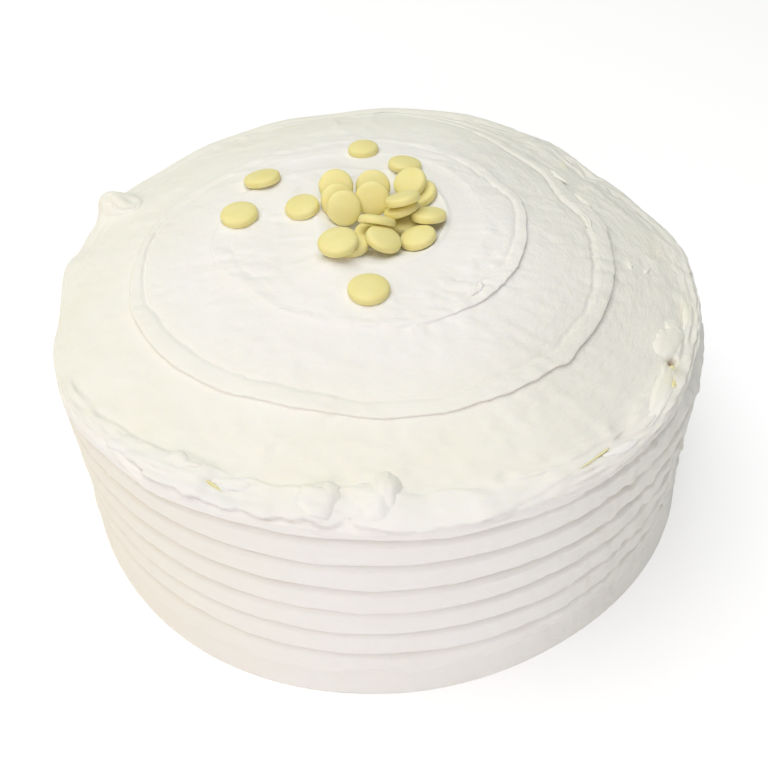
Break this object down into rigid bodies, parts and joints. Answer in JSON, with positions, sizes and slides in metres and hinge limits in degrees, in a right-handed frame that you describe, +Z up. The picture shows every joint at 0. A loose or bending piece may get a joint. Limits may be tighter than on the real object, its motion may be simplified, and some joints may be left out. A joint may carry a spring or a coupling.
{
  "type": "white mud cake",
  "caption": "Whole round white mud cake in smoothed white icing, with combed sides, a spiral knife line on top and loose white chocolate buttons piled in the middle.",
  "frame": {"origin": "middle of the cake's flat base", "axes": "+Z up out of the top, -Y towards the front of the cake as it is seen, +X to its right"},
  "size_m": [0.2455, 0.2436, 0.1172],
  "materials": {
    "icing": "matte",
    "white_chocolate": "satin"
  },
  "bodies": {
    "root": {"cake": "icing", "button_01": "white_chocolate", "button_02": "white_chocolate", "button_03": "white_chocolate", "button_04": "white_chocolate", "button_05": "white_chocolate", "button_06": "white_chocolate", "button_07": "white_chocolate", "button_08": "white_chocolate", "button_09": "white_chocolate", "button_10": "white_chocolate", "button_11": "white_chocolate", "button_12": "white_chocolate", "button_13": "white_chocolate", "button_14": "white_chocolate", "button_15": "white_chocolate", "button_16": "white_chocolate", "button_17": "white_chocolate", "button_18": "white_chocolate", "button_19": "white_chocolate", "button_20": "white_chocolate", "button_21": "white_chocolate", "button_22": "white_chocolate", "button_23": "white_chocolate"}
  },
  "joints": []
}
